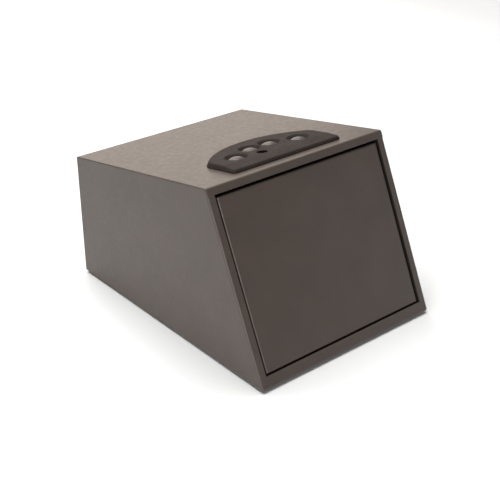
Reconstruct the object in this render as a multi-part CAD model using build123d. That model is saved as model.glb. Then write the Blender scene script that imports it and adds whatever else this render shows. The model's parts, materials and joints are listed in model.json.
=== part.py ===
from build123d import *
from math import atan2, cos, degrees, hypot, pi, radians, sin, tan
import os

# Quick access safe: a wedge-shaped steel case on a flat base, with a top that slopes down to the back, a
# front that leans back, a drop-down door hinged at its bottom corners and a four-button keypad on the top.
# Millimetres. +Z is up, the front faces -Y and +X is to the right of someone facing the front. The origin
# is at the middle of the footprint, on the surface that the feet stand on.

# Case
WIDTH = 256.5
BASE_LENGTH = 345.0
FRONT_HEIGHT = 201.2
BACK_HEIGHT = 155.5
TOP_RUN = 252.5
FOOT_HEIGHT = 2.0
SHEET = 1.5
BEND = 2.6
RELIEF = 2.4
PLATE_EDGE = 1.3

# Door opening and door, across (x), up the slanted front (s) and out of it (n)
OPENING_HALF = 119.25
OPENING_BOTTOM = 15.1
OPENING_TOP = 212.7
DOOR_HALF = 116.55
DOOR_BOTTOM = 16.4
DOOR_TOP = 210.0
DOOR_SET_BACK = 1.0
DOOR_DEPTH = 12.0
DOOR_BEND = 3.0
INNER_COVER_SHEET = 1.0
INNER_COVER_BOTTOM = 34.0
DOOR_FOAM_THICKNESS = 6.0
FRAME_WALL = 120.45
FRAME_STOP = 108.75
FRAME_FLANGE = 125.45
FRAME_DEPTH = 19.0

# Door pivot
HINGE_S = 24.9
HINGE_N = -8.0
PIN_R = 2.5
PIN_INNER_END = 99.25
BUSH_R = 3.5
BUSH_FLANGE_R = 5.0
BUSH_FLANGE = 1.2
BRACKET_SHEET = 2.5
PIN_HEAD_R = 4.0
SPRING_R = 4.75
SPRING_WIRE = 1.4
SPRING_PITCH = 1.5
SPRING_TURNS = 5.375
SPRING_START = 103.85
SPRING_TAIL = 7.5
SPRING_ARM = 20.0
SPRING_ARM_X = 102.15
SPRING_NOTCH = 108.4

# Lining and shelf
FLOOR_FOAM = 12.0
SIDE_FOAM = 5.0
BACK_FOAM = 10.0
BACK_FLANGE = 12.0
SHELF_Z = 81.5
SHELF_SHEET = 1.2
SHELF_HALF = 120.75
SHELF_FRONT = -98.0
SHELF_BACK = 158.0
SHELF_LIP = 10.0
SHELF_FOAM = 5.0

# Anchor holes in the base
ANCHOR_X = 150.0
ANCHOR_Y = 200.0
ANCHOR_CENTRE_Y = 5.0
ANCHOR_R = 4.25
ANCHOR_ACCESS_HALF = 12.0

# Feet
FOOT_R = 9.0
FOOT_X = 100.0
FOOT_Y = 135.0
FOOT_SCREW_R = 2.0

# Keypad, across (u), back along the sloping top (v) and out of it (w)
POD_HALF = 78.0
POD_FRONT = 14.5
POD_BACK = 101.0
POD_BACK_R = 100.0
POD_TIP_R = 12.0
POD_CORNER_R = 5.0
POD_TAPER = 24.0
POD_TOP = 5.8
POD_BROW = 34.0
POD_BROW_DROP = 1.8
POD_EDGE = 2.4
SEAL = 0.8
CUTOUT_HALF = 59.0
CUTOUT_FRONT = 30.5
CUTOUT_BACK = 80.0
SKIRT_DEPTH = 8.5
SKIRT_WALL = 2.0
BUTTON_PLACES = ((-45.5, 51.5), (-14.2, 66.5), (14.2, 66.5), (45.5, 51.5))
BUTTON_R = 8.5
BUTTON_TOP = 5.6
BUTTON_DOME = 2.3
BUTTON_TRAVEL = 1.2
BUTTON_GAP = 0.25
BUTTON_FLANGE_R = 9.6
WELL_R = 13.5
WELL_FLOOR_R = 10.5
WELL_FLOOR = 2.3
WELL_EDGE = 1.3
MAT_TOP = -3.7
MAT = 0.8
BOARD = 1.6
KEYPAD_SCREW_PLACES = ((-70.0, 22.0), (70.0, 22.0), (-70.0, 58.0), (70.0, 58.0))

# Override key lock
LOCK_U = -17.0
LOCK_V = 41.0
KEYHOLE_R = 6.2
LOCK_R = 8.0
LOCK_TOP = 3.0
LOCK_BOTTOM = -26.0
CORE_R = 5.0
LOCK_LEDGE = 3.2
CAM_REACH = 8.5
CAM_PIN_R = 1.5
CAM_TOP = -26.2
CAM_SHEET = 2.0

# Latch
BOLT_S = 201.0
BOLT_N = -26.0
BOLT_R = 3.25
BOLT_NOSE = -14.0
BOLT_TAIL = 72.0
BOLT_TRAVEL = 12.0
RACK = (5.0, 48.0)
RACK_V = (15.0, 25.2)
RACK_W = (-30.2, -22.2)
TONGUE_U = (-21.5, -18.5)
TONGUE_R = 6.5
GEAR_MODULE = 0.7
GEAR_TEETH = 18
GEAR_U = 26.0
GEAR_V = (16.0, 24.0)
GEAR_BACKLASH = 0.12
PRESSURE_ANGLE = radians(20)
SHAFT_R = 1.5

# Cover under the top plate
COVER_HALF = 100.0
COVER_FRONT = 12.0
COVER_STEP = 60.0
COVER_BACK = 150.0
COVER_DEEP = -36.0
COVER_SHALLOW = -26.0
COVER_WALL = 2.0
STUD_PLACES = ((-46.0, 18.0), (-46.0, 25.5), (62.0, 18.0), (62.0, 25.5),
               (-105.0, 30.0), (105.0, 30.0), (-105.0, 130.0), (105.0, 130.0))
STUD_R = 2.0

# Batteries
CELL_R = 7.1
CELL_LENGTH = 50.5
CELL_PLACES = ((-26.5, 108.4), (26.5, 108.4), (-26.5, 127.6), (26.5, 127.6))
CELL_W = -15.6

SLANT = atan2(BASE_LENGTH - TOP_RUN, FRONT_HEIGHT)
SLOPE = atan2(FRONT_HEIGHT - BACK_HEIGHT, TOP_RUN)
LEAN = SLANT - SLOPE
FRONT_LENGTH = hypot(BASE_LENGTH - TOP_RUN, FRONT_HEIGHT)
TOP_LENGTH = hypot(TOP_RUN, FRONT_HEIGHT - BACK_HEIGHT)

# The bend takes the tip off the sharp bottom front edge, and the origin is in the middle of what is left.
TIP_LOSS = BEND * (tan(SLANT) + 1 / cos(SLANT) - 1)
Y_FRONT = -(BASE_LENGTH + TIP_LOSS) / 2
Y_BACK = (BASE_LENGTH - TIP_LOSS) / 2
Y_CREST = Y_BACK - TOP_RUN
Z_FLOOR = FOOT_HEIGHT + SHEET

# FRONT has its origin at the middle of the bottom front edge: x across, y up the slant, z outwards.
# TOP has its origin at the middle of the top front edge: x across, y back down the slope, z outwards.
FRONT = Plane(origin=(0, Y_FRONT, FOOT_HEIGHT), x_dir=(1, 0, 0), z_dir=(0, -cos(SLANT), sin(SLANT)))
TOP = Plane(
    origin=(0, Y_CREST, FOOT_HEIGHT + FRONT_HEIGHT), x_dir=(1, 0, 0), z_dir=(0, sin(SLOPE), cos(SLOPE)))


def front_point(s, n):
    """Y and Z of a place s up the slanted front and n out of it."""
    return (Y_FRONT + s * sin(SLANT) - n * cos(SLANT), FOOT_HEIGHT + s * cos(SLANT) + n * sin(SLANT))


def top_point(v, w):
    """Y and Z of a place v back along the sloping top and w out of it."""
    height = FOOT_HEIGHT + FRONT_HEIGHT - v * sin(SLOPE) + w * cos(SLOPE)
    return (Y_CREST + v * cos(SLOPE) + w * sin(SLOPE), height)


def top_from_front(s, n):
    """v and w, in the frame of the top, of a place s up the front and n out of it."""
    rise = s - FRONT_LENGTH
    return (rise * sin(LEAN) - n * cos(LEAN), rise * cos(LEAN) + n * sin(LEAN))


def roof(y, drop):
    """Height at y of a surface that lies drop below the top's outer face, square to it."""
    return FOOT_HEIGHT + FRONT_HEIGHT - (y - Y_CREST) * tan(SLOPE) - drop / cos(SLOPE)


def block(x, y, z):
    """A box given by its limits along each axis."""
    size = [limits[1] - limits[0] for limits in (x, y, z)]
    middle = [(limits[0] + limits[1]) / 2 for limits in (x, y, z)]
    return Pos(*middle) * Box(*size)


def rod(radius, z, x=0.0, y=0.0):
    """A round bar along Z between two heights."""
    return Pos(x, y, (z[0] + z[1]) / 2) * Cylinder(radius, z[1] - z[0])


def rod_x(radius, x, y, z):
    """A round bar along X between two places."""
    return Pos((x[0] + x[1]) / 2, y, z) * Rot(0, 90, 0) * Cylinder(radius, x[1] - x[0])


def rod_y(radius, y, x, z):
    """A round bar along Y between two places."""
    return Pos(x, (y[0] + y[1]) / 2, z) * Rot(90, 0, 0) * Cylinder(radius, y[1] - y[0])


def hexagon(across_flats, z, x, y):
    """A hexagonal bar along Z."""
    face = Pos(x, y, z[0]) * RegularPolygon(across_flats / 2, 6, major_radius=False)
    return extrude(face, amount=z[1] - z[0])


def side_prism(points, x):
    """A prism along X whose outline is given as Y and Z."""
    face = make_face(Polyline(*points, close=True))
    return Pos(x[0], 0, 0) * extrude(Plane.YZ * face, amount=x[1] - x[0])


def edges_near(solid, points):
    """The edges of a solid whose middles lie at the given points."""
    return [edge for edge in solid.edges() if any((edge @ 0.5 - Vector(*p)).length < 0.2 for p in points)]


def middle(a, b):
    """The point halfway between two places given as Y and Z."""
    return ((a[0] + b[0]) / 2, (a[1] + b[1]) / 2)


def both_sides(shape):
    """A right-hand shape and its mirror image on the left."""
    return [shape, mirror(shape, about=Plane.YZ)]


def group(shapes):
    """Separate solids kept together in one node."""
    return Compound([solid for shape in shapes for solid in shape.solids()])


def on_front(shape):
    return FRONT.location * shape


def on_top(shape):
    return TOP.location * shape


def keypad_cutout(half, front, back, w, corner=6.0):
    """A round-cornered block through the top plate."""
    face = Pos(0, (front + back) / 2, w[0]) * RectangleRounded(2 * half, back - front, corner)
    return extrude(face, amount=w[1] - w[0])


# Case


def top_plate():
    """The sloping top and the part of the front rim that is folded down from it."""
    crest = top_point(0, 0)
    inner_crest = top_point(SHEET * (1 - sin(LEAN)) / cos(LEAN), -SHEET)
    outline = [
        front_point(OPENING_TOP, 0), crest, (Y_BACK, roof(Y_BACK, 0)), (Y_BACK, roof(Y_BACK, SHEET)),
        inner_crest, front_point(OPENING_TOP, -SHEET),
    ]
    plate = side_prism(outline, (-WIDTH / 2, WIDTH / 2))
    plate = fillet(edges_near(plate, [(0, *inner_crest)]), BEND - SHEET)
    plate = fillet(edges_near(plate, [(0, *crest)]), BEND)
    skin = [edge for edge in plate.edges() if abs((edge @ 0.5).X) > WIDTH / 2 - 0.1
            and max(plane.to_local_coords(edge @ 0.5).Z for plane in (TOP, FRONT)) > -SHEET / 2 + 0.1]
    plate = fillet(skin + edges_near(plate, [(0, Y_BACK, roof(Y_BACK, 0))]), PLATE_EDGE)
    plate -= on_top(keypad_cutout(CUTOUT_HALF, CUTOUT_FRONT, CUTOUT_BACK, (-5, 5)))
    for u, v in KEYPAD_SCREW_PLACES:
        plate -= on_top(rod(1.8, (-5, 5), u, v))
    return plate


def case_shell():
    """Base and sides folded from one sheet, with the sides and bottom of the front rim turned in.

    A small bend relief is cut from each side wall under the crest, where the top plate folds down.
    """
    bottom_front = (Y_FRONT, FOOT_HEIGHT)
    bottom_back = (Y_BACK, FOOT_HEIGHT)
    crest = top_point(0, 0)
    outer = side_prism([bottom_front, bottom_back, (Y_BACK, roof(Y_BACK, 0)), crest], (-WIDTH / 2, WIDTH / 2))
    bends = [(0, *bottom_front)]
    for x in (-WIDTH / 2, WIDTH / 2):
        bends += [(x, *middle(bottom_front, bottom_back)), (x, *middle(bottom_front, crest))]
    outer = fillet(edges_near(outer, bends), BEND)

    beyond = 30.0
    inside = WIDTH / 2 - SHEET
    inner_front = (Y_FRONT + SHEET * tan(SLANT) + SHEET / cos(SLANT), Z_FLOOR)
    inner_back = (Y_BACK + beyond, Z_FLOOR)
    inner_top = front_point(FRONT_LENGTH + beyond, -SHEET)
    inner_outline = [inner_front, inner_back, (Y_BACK + beyond, inner_top[1]), inner_top]
    inner = side_prism(inner_outline, (-inside, inside))
    bends = [(0, *inner_front)]
    for x in (-inside, inside):
        bends += [(x, *middle(inner_front, inner_back)), (x, *middle(inner_front, inner_top))]
    inner = fillet(edges_near(inner, bends), BEND - SHEET)

    shell = outer - inner
    shell -= on_front(block((-OPENING_HALF, OPENING_HALF), (OPENING_BOTTOM, FRONT_LENGTH + 9), (-9, 9)))
    shell -= on_front(block((-WIDTH, WIDTH), (OPENING_TOP, FRONT_LENGTH + 9), (-SHEET, 9)))
    shell -= on_top(block((-WIDTH, WIDTH), (-9, TOP_LENGTH + 9), (-SHEET, 9)))
    shell -= on_top(block((-WIDTH, WIDTH), (-9, RELIEF), (-RELIEF, 0)))
    for x in (-ANCHOR_X / 2, ANCHOR_X / 2):
        for y in (-ANCHOR_Y / 2, ANCHOR_Y / 2):
            shell -= rod(ANCHOR_R, (0, 9), x, ANCHOR_CENTRE_Y + y)
    for x, y in foot_places():
        shell -= rod(FOOT_SCREW_R + 0.1, (0, 9), x, y)
    return shell


def back_panel():
    """A pan that closes the back, its edges turned forward inside the shell."""
    inside = WIDTH / 2 - SHEET
    front = Y_BACK - BACK_FLANGE
    outline = [
        (front, Z_FLOOR), (Y_BACK, Z_FLOOR), (Y_BACK, roof(Y_BACK, SHEET)), (front, roof(front, SHEET)),
    ]
    pan = side_prism(outline, (-inside, inside))
    pan = fillet(pan.faces().sort_by(Axis.Y)[-1].edges(), BEND)
    corners = [edge for edge in pan.edges() if (edge @ 0.5).Y < Y_BACK - BEND and edge.length < BACK_FLANGE]
    pan = fillet([edge for edge in corners if edge.length > BACK_FLANGE / 2], 1.2)
    hollow = [
        (front - 5, Z_FLOOR + SHEET), (Y_BACK - SHEET, Z_FLOOR + SHEET),
        (Y_BACK - SHEET, roof(Y_BACK - SHEET, 2 * SHEET)), (front - 5, roof(front - 5, 2 * SHEET)),
    ]
    return pan - side_prism(hollow, (-inside + SHEET, inside - SHEET))


def door_frame():
    """Folded frame behind the rim: it guards the gap and its turned-in edges stop the door."""
    wall = (FRAME_WALL, FRAME_WALL + SHEET)
    legs = (OPENING_BOTTOM, OPENING_TOP + 2.7)
    leg = block(wall, legs, (-FRAME_DEPTH, -SHEET))
    leg += block((FRAME_WALL, FRAME_FLANGE), legs, (-2 * SHEET, -SHEET))
    leg += block((FRAME_STOP, FRAME_WALL + SHEET), legs, (-FRAME_DEPTH, -FRAME_DEPTH + SHEET))
    leg -= rod_x(BUSH_R, (FRAME_WALL - 1, FRAME_WALL + 4), HINGE_S, HINGE_N)
    head = (OPENING_TOP + 1.2, OPENING_TOP + 2.7)
    header = block((-wall[1], wall[1]), head, (-10, -SHEET))
    header += block((-FRAME_FLANGE, FRAME_FLANGE), (head[0], OPENING_TOP + 6), (-2 * SHEET, -SHEET))
    frame = header
    for side in both_sides(leg):
        frame += side
    return on_front(frame)


def door_bumpers():
    """Rubber pads on the frame's stops, two a side, that the closed door rests on."""
    resting = -DOOR_SET_BACK - DOOR_DEPTH - INNER_COVER_SHEET
    pads = []
    for s in (70.0, 190.0):
        pads += both_sides(rod(3.5, (-FRAME_DEPTH + SHEET, resting - 0.05), FRAME_STOP + 4.0, s))
    return on_front(group(pads))


def hinge_brackets():
    """Thick plates outside the frame that hold the pivot bushes."""
    place = (FRAME_WALL + SHEET, FRAME_WALL + SHEET + BRACKET_SHEET)
    plate = block(place, (OPENING_BOTTOM, OPENING_BOTTOM + 20), (-FRAME_DEPTH + 1.5, -2 * SHEET - 0.1))
    plate -= rod_x(BUSH_R, (place[0] - 1, place[1] + 1), HINGE_S, HINGE_N)
    return on_front(group(both_sides(plate)))


def hinge_bushes():
    """Flanged nylon bushes between the pins and the frame."""
    outer_end = FRAME_WALL + SHEET + BRACKET_SHEET
    bush = rod_x(BUSH_R, (FRAME_WALL - BUSH_FLANGE, outer_end), HINGE_S, HINGE_N)
    bush += rod_x(BUSH_FLANGE_R, (FRAME_WALL - BUSH_FLANGE, FRAME_WALL), HINGE_S, HINGE_N)
    bush -= rod_x(PIN_R, (FRAME_WALL - 9, outer_end + 9), HINGE_S, HINGE_N)
    return on_front(group(both_sides(bush)))


def hinge_pins():
    """Steel pins through the bushes into the door's side flanges."""
    outer_end = FRAME_WALL + SHEET + BRACKET_SHEET
    pin = rod_x(PIN_R, (PIN_INNER_END, outer_end), HINGE_S, HINGE_N)
    pin += rod_x(PIN_HEAD_R, (outer_end, outer_end + 1.5), HINGE_S, HINGE_N)
    return on_front(group(both_sides(pin)))


def spring_plane(x):
    """Square to the pivot: its own x points out of the door and its own y down the slant."""
    return Plane(origin=(x, *front_point(HINGE_S, HINGE_N)), x_dir=FRONT.z_dir, z_dir=(1, 0, 0))


def door_springs():
    """Torsion springs round the pins: the turns and the tail that bears on the frame's stop."""
    path = Helix(SPRING_PITCH, SPRING_PITCH * SPRING_TURNS, SPRING_R)
    start = Plane(origin=path @ 0, z_dir=path % 0)
    coil = sweep(start * Circle(SPRING_WIRE / 2), path=path)
    end = Plane(origin=path @ 1, z_dir=path % 1)
    tail = extrude(end * Circle(SPRING_WIRE / 2), amount=SPRING_TAIL)
    spring = spring_plane(SPRING_START).location * (coil + tail)
    return group(both_sides(spring))


def spring_arms():
    """The last turn of each torsion spring, with the arm that presses the door outwards."""
    path = Polyline((SPRING_R, -SPRING_ARM), (SPRING_R, 0)) + CenterArc((0, 0), SPRING_R, 0, 315)
    start = Plane(origin=path @ 0, z_dir=path % 0)
    arm = sweep(start * Circle(SPRING_WIRE / 2), path=path)
    return group(both_sides(spring_plane(SPRING_ARM_X).location * arm))


def foot_places():
    return [(x, y) for x in (-FOOT_X, FOOT_X) for y in (-FOOT_Y, FOOT_Y)]


def rubber_feet():
    feet = []
    for x, y in foot_places():
        foot = Pos(x, y, FOOT_HEIGHT / 2) * Cylinder(FOOT_R, FOOT_HEIGHT)
        foot = fillet(foot.edges().sort_by(Axis.Z)[0], 0.6)
        foot -= rod(FOOT_SCREW_R, (1.0, FOOT_HEIGHT + 1), x, y)
        feet.append(foot)
    return group(feet)


def foot_rivets():
    """Rivets that hold the feet, their heads on the floor inside."""
    rivets = []
    for x, y in foot_places():
        rivets.append(rod(FOOT_SCREW_R, (1.0, Z_FLOOR), x, y) + rod(3.6, (Z_FLOOR, Z_FLOOR + 1.2), x, y))
    return group(rivets)


# Lining and shelf


def floor_foam():
    """The pad on the floor, open over the anchor holes and the rivet heads."""
    half = WIDTH / 2 - SHEET - 1.3
    pad = block((-half, half), (-146, Y_BACK - BACK_FLANGE - 0.5), (Z_FLOOR, Z_FLOOR + FLOOR_FOAM))
    for x in (-ANCHOR_X / 2, ANCHOR_X / 2):
        for y in (-ANCHOR_Y / 2, ANCHOR_Y / 2):
            middle_y = ANCHOR_CENTRE_Y + y
            pad -= block(
                (x - ANCHOR_ACCESS_HALF, x + ANCHOR_ACCESS_HALF),
                (middle_y - ANCHOR_ACCESS_HALF, middle_y + ANCHOR_ACCESS_HALF), (0, 30))
    for x, y in foot_places():
        pad -= rod(4.5, (0, Z_FLOOR + 2), x, y)
    return pad


def shelf_bracket_places():
    return (-60.0, 120.0)


def side_foams():
    """Right-hand and left-hand wall pads, cut away round the shelf brackets."""
    front_n = -FRAME_DEPTH - 1.0
    low = Z_FLOOR + FLOOR_FOAM + 0.1
    low_s = (low - FOOT_HEIGHT - front_n * sin(SLANT)) / cos(SLANT)
    back = Y_BACK - BACK_FLANGE - 0.5
    drop = SHEET + 1.0
    high_v = (-front_n - drop * sin(LEAN)) / cos(LEAN)
    outline = [front_point(low_s, front_n), (back, low), (back, roof(back, drop)), top_point(high_v, -drop)]
    outer = WIDTH / 2 - SHEET - 0.1
    pad = side_prism(outline, (outer - SIDE_FOAM, outer))
    for y in shelf_bracket_places():
        pad -= block((outer - SIDE_FOAM - 1, outer + 1), (y - 13, y + 13), (SHELF_Z - 13, SHELF_Z + 9))
    return both_sides(pad)


def back_foam():
    """The pad inside the back panel."""
    back = Y_BACK - SHEET
    front = back - BACK_FOAM
    low = Z_FLOOR + SHEET + 0.2
    drop = 2 * SHEET + 0.3
    outline = [(front, low), (back, low), (back, roof(back, drop)), (front, roof(front, drop))]
    half = WIDTH / 2 - 2 * SHEET - 0.2
    return side_prism(outline, (-half, half))


def shelf():
    """Lift-out tray with turned-up front and back edges and a finger hole."""
    ends = (SHELF_FRONT, SHELF_BACK)
    tray = block((-SHELF_HALF, SHELF_HALF), ends, (SHELF_Z, SHELF_Z + SHELF_SHEET))
    for y in ends:
        lip = (y, y + SHELF_SHEET) if y < 0 else (y - SHELF_SHEET, y)
        tray += block((-SHELF_HALF, SHELF_HALF), lip, (SHELF_Z, SHELF_Z + SHELF_LIP))
    tray -= rod(12.0, (SHELF_Z - 5, SHELF_Z + 5), 0, SHELF_FRONT + 28)
    return tray


def shelf_foam():
    """The pad in the tray, open over the finger hole."""
    low = SHELF_Z + SHELF_SHEET
    pad = block((-SHELF_HALF + 1, SHELF_HALF - 1), (SHELF_FRONT + 2, SHELF_BACK - 2), (low, low + SHELF_FOAM))
    return pad - rod(14.0, (low - 5, low + 9), 0, SHELF_FRONT + 28)


def shelf_brackets():
    """Four welded angles that carry the tray."""
    wall = WIDTH / 2 - SHEET
    angles = []
    for y in shelf_bracket_places():
        angle = block((wall - SHEET, wall), (y - 12, y + 12), (SHELF_Z - 12, SHELF_Z))
        angle += block((wall - 12, wall), (y - 12, y + 12), (SHELF_Z - SHEET, SHELF_Z))
        angles += both_sides(angle)
    return group(angles)


# Door


def door_panel():
    """Folded steel pan: face and four turned-in edges."""
    face = -DOOR_SET_BACK
    rear = face - DOOR_DEPTH
    pan = block((-DOOR_HALF, DOOR_HALF), (DOOR_BOTTOM, DOOR_TOP), (rear, face))
    pan = fillet(pan.faces().sort_by(Axis.Z)[-1].edges(), DOOR_BEND)
    inside = DOOR_HALF - SHEET
    hollow = block((-inside, inside), (DOOR_BOTTOM + SHEET, DOOR_TOP - SHEET), (rear - 9, face - SHEET))
    hollow = fillet(hollow.faces().sort_by(Axis.Z)[-1].edges(), DOOR_BEND - SHEET)
    pan -= hollow
    notch = block((SPRING_NOTCH, DOOR_HALF + 1), (DOOR_BOTTOM - 1, DOOR_BOTTOM + 2), (rear - 1, -5.0))
    for side in both_sides(notch):
        pan -= side
    pan -= rod_x(PIN_R + 0.05, (-WIDTH, WIDTH), HINGE_S, HINGE_N)
    return on_front(pan)


def door_stiffener():
    """Hat section welded behind the face, which carries the inner cover."""
    face = -DOOR_SET_BACK - SHEET
    rear = -DOOR_SET_BACK - DOOR_DEPTH
    reach = (INNER_COVER_BOTTOM, DOOR_TOP - DOOR_BEND - 1)
    hat = block((-20, 20), reach, (rear, face)) - block((-18.5, 18.5), (0, 300), (rear + SHEET, face))
    for side in both_sides(block((20, 32), reach, (face - SHEET, face))):
        hat += side
    return on_front(hat)


def door_inner_cover():
    """Flat plate that closes the back of the door above the hinge."""
    rear = -DOOR_SET_BACK - DOOR_DEPTH
    half = DOOR_HALF - 0.5
    reach = (INNER_COVER_BOTTOM, DOOR_TOP - 1)
    return on_front(block((-half, half), reach, (rear - INNER_COVER_SHEET, rear)))


def striker_tongue():
    """Plate with a window that the latch bolt passes through, on a foot fixed to the inner cover."""
    cover = -DOOR_SET_BACK - DOOR_DEPTH - INNER_COVER_SHEET
    foot = block((-30, -10), (BOLT_S - 11, BOLT_S + TONGUE_R), (cover - SHEET, cover))
    tongue = block(TONGUE_U, (BOLT_S - TONGUE_R, BOLT_S + TONGUE_R), (BOLT_N, cover))
    tongue += rod_x(TONGUE_R, TONGUE_U, BOLT_S, BOLT_N)
    tongue -= rod_x(BOLT_R + 0.5, (TONGUE_U[0] - 5, TONGUE_U[1] + 5), BOLT_S, BOLT_N)
    return on_front(foot + tongue)


def striker_rivets():
    foot = -DOOR_SET_BACK - DOOR_DEPTH - INNER_COVER_SHEET - SHEET
    return on_front(group([rod(2.6, (foot - 1.0, foot), x, BOLT_S - 2) for x in (-27.0, -13.0)]))


def door_foam():
    """The pad on the inside of the door."""
    cover = -DOOR_SET_BACK - DOOR_DEPTH - INNER_COVER_SHEET
    return on_front(block((-104, 104), (INNER_COVER_BOTTOM + 2, 180), (cover - DOOR_FOAM_THICKNESS, cover)))


# Keypad


def pod_outline(inset=0.0):
    """Straight front and sides, rounded corners and an arched back edge."""
    half = POD_HALF
    side_v = POD_BACK - (POD_BACK_R - (POD_BACK_R ** 2 - half ** 2) ** 0.5)
    front = Polyline((-half, side_v), (-half, POD_FRONT), (half, POD_FRONT), (half, side_v))
    back = ThreePointArc((half, side_v), (0, POD_BACK), (-half, side_v))
    face = make_face(front + back)
    face = fillet(face.vertices().group_by(Axis.Y)[-1], POD_TIP_R)
    face = fillet(face.vertices().group_by(Axis.Y)[0], POD_CORNER_R)
    return offset(face, amount=-inset) if inset else face


def lock_block(w, grow=0.0):
    """The part of the keypad that the key lock takes up."""
    return block((LOCK_U - 17.5 - grow, LOCK_U + 17.5 + grow), (CUTOUT_FRONT + 0.5, LOCK_V + 8 + grow), w)


def keypad_housing():
    """The pod: finger wells round the buttons, the keyhole, and a skirt that drops through the top plate.

    Its top falls away in front of the keyhole, and all its upper edges are well rounded.
    """
    pod = extrude(Pos(0, 0, SEAL) * pod_outline(), amount=POD_TOP - SEAL, taper=POD_TAPER)
    brow = [(POD_BROW, POD_TOP), (POD_FRONT, POD_TOP - POD_BROW_DROP), (POD_FRONT, POD_TOP + 1)]
    pod -= side_prism([*brow, (POD_BROW, POD_TOP + 1)], (-POD_HALF, POD_HALF))
    upper = [edge for edge in pod.edges() if (edge @ 0.5).Z > POD_TOP - POD_BROW_DROP]
    pod = fillet([edge for edge in upper if abs((edge @ 0.5).Y - POD_BROW) > 0.1], POD_EDGE)
    skirt = keypad_cutout(CUTOUT_HALF - 0.5, CUTOUT_FRONT + 0.5, CUTOUT_BACK - 0.5, (-SKIRT_DEPTH, SEAL))
    cavity = keypad_cutout(
        CUTOUT_HALF - 0.5 - SKIRT_WALL, CUTOUT_FRONT + 0.5 + SKIRT_WALL, CUTOUT_BACK - 0.5 - SKIRT_WALL,
        (-SKIRT_DEPTH - 1, 0), 1.5)
    housing = pod + skirt - (cavity - lock_block((-SKIRT_DEPTH, 0)))
    for u, v in BUTTON_PLACES:
        depth = POD_TOP - WELL_FLOOR
        housing -= Pos(u, v, WELL_FLOOR + depth / 2) * Cone(WELL_FLOOR_R, WELL_R, depth)
        housing -= rod(BUTTON_R + BUTTON_GAP, (-1, POD_TOP), u, v)
    rims = [edge for edge in housing.edges() if edge.geom_type == GeomType.CIRCLE
            and abs((edge @ 0.5).Z - POD_TOP) < 0.01 and abs(edge.radius - WELL_R) < 0.01]
    housing = fillet(rims, WELL_EDGE)
    housing -= rod(LOCK_R + 0.2, (-SKIRT_DEPTH - 1, LOCK_LEDGE), LOCK_U, LOCK_V)
    housing -= rod(KEYHOLE_R, (LOCK_LEDGE - 1, POD_TOP + 1), LOCK_U, LOCK_V)
    housing -= Pos(LOCK_U, LOCK_V, POD_TOP - 0.3) * Cone(KEYHOLE_R, KEYHOLE_R + 0.6, 0.6)
    for u, v in KEYPAD_SCREW_PLACES:
        housing -= rod(1.3, (0, 4.2), u, v)
    for u in yoke_screw_places():
        housing -= rod(1.3, (-SKIRT_DEPTH - 1, -3.5), u, LOCK_V)
    return on_top(housing)


def keypad_seal():
    """Thin gasket between the pod and the top plate."""
    sheet = extrude(pod_outline(1.2), amount=SEAL)
    sheet -= keypad_cutout(CUTOUT_HALF, CUTOUT_FRONT, CUTOUT_BACK, (-1, SEAL + 1))
    for u, v in KEYPAD_SCREW_PLACES:
        sheet -= rod(1.8, (-1, SEAL + 1), u, v)
    return on_top(sheet)


def keypad_screws():
    """Pan-head screws from under the top plate into the pod."""
    screws = []
    for u, v in KEYPAD_SCREW_PLACES:
        screws.append(rod(1.25, (-SHEET, 4.0), u, v) + rod(2.8, (-SHEET - 2.0, -SHEET), u, v))
    return on_top(group(screws))


def keypad_layer(w, inset):
    """A flat layer inside the skirt, cut away round the key lock."""
    layer = keypad_cutout(CUTOUT_HALF - inset, CUTOUT_FRONT + inset, CUTOUT_BACK - inset, w, 1.5)
    return layer - lock_block((w[0] - 1, w[1] + 1), 0.5)


def switch_mat():
    """Silicone sheet with a low dome under each button."""
    mat = keypad_layer((MAT_TOP - MAT, MAT_TOP), 3.0)
    for u, v in BUTTON_PLACES:
        mat += Pos(u, v, MAT_TOP + 0.4) * Cone(5.0, 3.5, 0.8)
    return on_top(mat)


def keypad_board():
    """Circuit board under the mat."""
    high = MAT_TOP - MAT
    return on_top(keypad_layer((high - BOARD, high), 3.0))


def keypad_back_cover():
    """Plate that closes the skirt from below, with a slot for the ribbon."""
    cover = keypad_layer((-SKIRT_DEPTH, -SKIRT_DEPTH + 1.5), 2.6)
    return on_top(cover - block((29, 43), (71, 74), (-10, 0)))


def keypad_ribbon():
    """Flat cable from the keypad board down to the control board."""
    return on_top(block((30, 42), (72, 72.6), (-18.8, MAT_TOP - MAT - BOARD)))


def button(place):
    """Domed cap on a retaining flange and a short stem."""
    u, v = place
    sphere_r = (BUTTON_R ** 2 + BUTTON_DOME ** 2) / (2 * BUTTON_DOME)
    cap = rod(BUTTON_R, (-1.3, BUTTON_TOP), u, v) & (Pos(u, v, BUTTON_TOP - sphere_r) * Sphere(sphere_r))
    cap += rod(BUTTON_FLANGE_R, (-1.3, -0.05), u, v)
    cap += rod(3.0, (-1.6, -1.3), u, v)
    return on_top(cap)


# Key lock


def yoke_screw_places():
    return (LOCK_U - 14.0, LOCK_U + 14.0)


def lock_body():
    """Steel cylinder with a collar, bored for the core."""
    body = rod(LOCK_R, (LOCK_BOTTOM, LOCK_TOP), LOCK_U, LOCK_V)
    body += rod(LOCK_R + 3, (-SKIRT_DEPTH - 2, -SKIRT_DEPTH), LOCK_U, LOCK_V)
    return on_top(body - rod(CORE_R + 0.05, (LOCK_BOTTOM - 1, LOCK_TOP + 1), LOCK_U, LOCK_V))


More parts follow.
